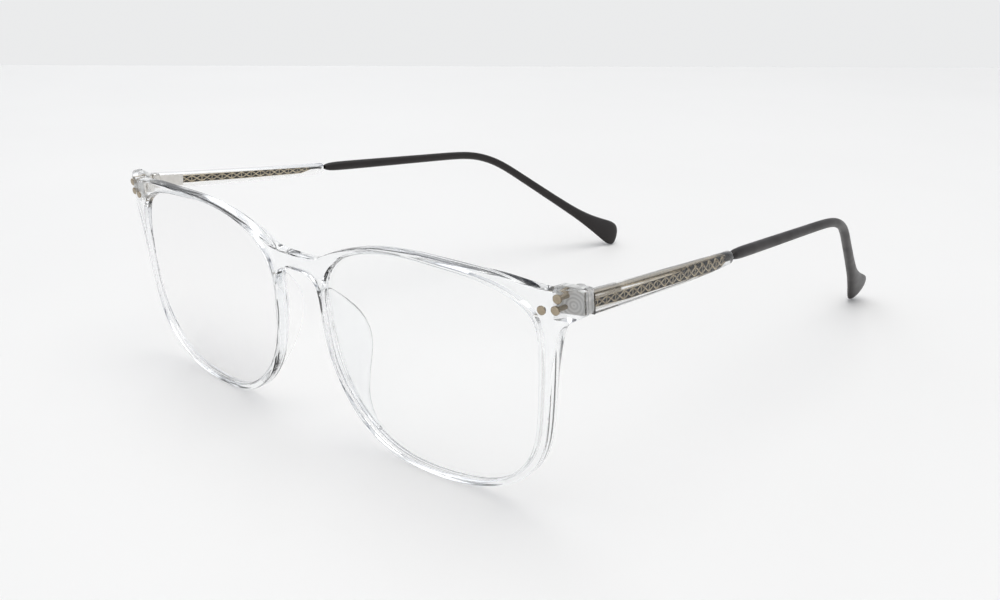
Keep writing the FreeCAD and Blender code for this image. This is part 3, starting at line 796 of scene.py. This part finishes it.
# %% Core pattern
CORE_START, CORE_END = 0.4, 45.8
CORE_TOP = [(CORE_START, 0.6), (10.0, 0.5), (25.0, 0.45), (43.2, 0.55), (CORE_END, TIP_MID + 0.4)]
CORE_BOTTOM = [(CORE_START, -0.75), (10.0, -1.2), (25.0, -1.4), (43.2, -1.45),
               (CORE_END, TIP_MID - 0.4)]
CORE_HALF, RELIEF = 0.45, 0.13
COLUMNS, ROWS = 540, 24
BRAID_PITCH, BRAID_SPREAD, BRAID_WIDTH = 2.7, 0.33, 0.17
UPRIGHT_WIDTH, UPRIGHT_HEIGHT = 0.1, 0.75
BORDER_WIDTH, BORDER_HEIGHT = 0.06, 0.9
WIRE_WIDTH, WIRE_START, WIRE_SHORT_OF_END, WIRE_SIDES = 1.0, -3.5, 12.0, 12


def ridge(off, width):
    """1 on a line, falling to 0 at a width from it."""
    return max(0.0, 1.0 - abs(off) / width)


def lattice(along, share):
    """Height of the raised pattern, from 0 to 1: a braid of two waves, uprights and a border."""
    wave = BRAID_SPREAD * math.sin(math.pi * along / BRAID_PITCH)
    turn = along / BRAID_PITCH + 0.5
    upright = ridge(turn - round(turn), UPRIGHT_WIDTH) * UPRIGHT_HEIGHT
    border = BORDER_HEIGHT if min(share, 1.0 - share) < BORDER_WIDTH else 0.0
    braid = max(ridge(share - 0.5 - wave, BRAID_WIDTH), ridge(share - 0.5 + wave, BRAID_WIDTH))
    height = max(braid, upright, border)
    return height * height * (3 - 2 * height)


core = bmesh.new()
bmesh.ops.create_grid(core, x_segments=COLUMNS, y_segments=ROWS, size=0.5)
raised_layer = core.verts.layers.float.new("raised")
back_faces = bmesh.ops.extrude_face_region(core, geom=core.faces[:], use_keep_orig=True)
inner = {item for item in back_faces["geom"] if isinstance(item, bmesh.types.BMVert)}
for vertex in core.verts:
    along = CORE_START + (vertex.co.x + 0.5) * (CORE_END - CORE_START)
    share = vertex.co.y + 0.5
    top, bottom = between(CORE_TOP, along)[0], between(CORE_BOTTOM, along)[0]
    high = lattice(along, share)
    vertex[raised_layer] = high
    out = CORE_HALF - RELIEF * (1.0 - high)
    vertex.co = (-TEMPLE_THICKNESS / 2 + (-out if vertex in inner else out), along,
                 bottom + (top - bottom) * share)
middle_line = [(Vector((0, WIRE_START, 0)), 0.0)] + [on_tip(1, number / 6) for number in range(7)]
middle_line.append(on_tip(2, 1 - WIRE_SHORT_OF_END / TIP_END))
wire = extruded([tip_ring(point, slope, WIRE_WIDTH, WIRE_WIDTH, 0.0, WIRE_SIDES)
                 for point, slope in middle_line])
wire.transform(TEMPLE.inverted() @ TIP)
wire_data = bpy.data.meshes.new("wire")
wire.to_mesh(wire_data)
core.from_mesh(wire_data)
bpy.data.meshes.remove(wire_data)
pair("temple_core", core, TEMPLE, TEMPLES, "core_metal", [bronze], fold=50.0)

# %% [markdown]
# The leaves, rivets and screws are already drawn in full by the frame, so they stay and get their
# metals.

# %% Metals on the hinge parts
for name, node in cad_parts.items():
    for key, material in (("hinge_leaf", nickel), ("front_rivets", rivet_nickel),
                          ("hinge_screw", screw_steel)):
        if key in name:
            node.data.materials.clear()
            node.data.materials.append(material)

# %% [markdown]
# ## Table and light
# The glasses stand on a pale table, laid square to the camera. The tips are a little higher than
# the rims, so the table tilts by a fraction of a degree and meets both.

# %% Table
TABLE_SIZE, TABLE_FORWARD = 1.6, -1.048
TABLE_TILT, RIMS_BACK, TABLE_RISE = 0.41, -0.0795, 0.0001
table, tree, shader = fresh("pale table")
tinted(tree, shader, (0.845, 0.84, 0.83), (0.88, 0.875, 0.865), 9.0)
shader.inputs["Roughness"].default_value = 0.6
floor_mesh = bmesh.new()
bmesh.ops.create_grid(floor_mesh, x_segments=1, y_segments=1, size=1.0)
floor_mesh.transform(turned(CAMERA_TURN, "Z") @ Matrix.Translation((0, TABLE_FORWARD, 0))
                     @ Matrix.Scale(TABLE_SIZE, 4))
floor_mesh.transform(Matrix.Translation((0, RIMS_BACK, TABLE_RISE)) @ turned(TABLE_TILT, "X")
                     @ Matrix.Translation((0, -RIMS_BACK, 0)))
floor_data = bpy.data.meshes.new("table")
floor_mesh.to_mesh(floor_data)
floor_data.materials.append(table)
floor = bpy.data.objects.new("table", floor_data)
bpy.context.scene.collection.objects.link(floor)

# %% [markdown]
# The room is pale but for one narrow dark band near the horizon. A clear edge gathers that band
# into thin dark lines. Three soft lamps keep the shadows faint.

# %% Room and lamps
world = bpy.data.worlds.new("room")
bpy.context.scene.world = world
world.use_nodes = True
tree = world.node_tree
background = tree.nodes["Background"]
coords = tree.nodes.new("ShaderNodeTexCoord")
split = tree.nodes.new("ShaderNodeSeparateXYZ")
tree.links.new(coords.outputs["Generated"], split.inputs["Vector"])
bands = tree.nodes.new("ShaderNodeValToRGB")
tree.links.new(split.outputs["Z"], bands.inputs["Fac"])
elements = bands.color_ramp.elements
elements[0].position, elements[0].color = 0.0, (0.83, 0.835, 0.84, 1.0)
elements[1].position, elements[1].color = 0.12, (0.8, 0.81, 0.82, 1.0)
for position, color in ((0.4, (0.66, 0.68, 0.71, 1.0)), (0.47, (0.06, 0.07, 0.11, 1.0)),
                        (0.51, (0.06, 0.07, 0.11, 1.0)), (0.58, (0.68, 0.7, 0.73, 1.0)),
                        (1.0, (1.0, 1.0, 1.0, 1.0))):
    element = elements.new(position)
    element.color = color
tree.links.new(bands.outputs["Color"], background.inputs["Color"])
background.inputs["Strength"].default_value = 1.0


def lamp(name, where, aim, size, power, color=(1.0, 1.0, 1.0)):
    """A square soft lamp that faces a point."""
    data = bpy.data.lights.new(name, "AREA")
    data.size = size
    data.energy = power
    data.color = color
    light = bpy.data.objects.new(name, data)
    light.location = where
    light.rotation_euler = (Vector(aim) - Vector(where)).to_track_quat("-Z", "Y").to_euler()
    bpy.context.scene.collection.objects.link(light)


lamp("overhead", (0.15, 0.1, 1.1), (0, 0, 0), 0.9, 4.1, (1.0, 0.985, 0.965))
lamp("window", (-1.0, 0.5, 0.8), (0, 0, 0), 0.7, 1.6, (0.97, 0.98, 1.0))
lamp("front fill", (0.9, -0.9, 0.8), (0, 0, 0), 0.7, 1.5, (1.0, 0.98, 0.96))
bpy.context.scene.view_settings.view_transform = "Standard"
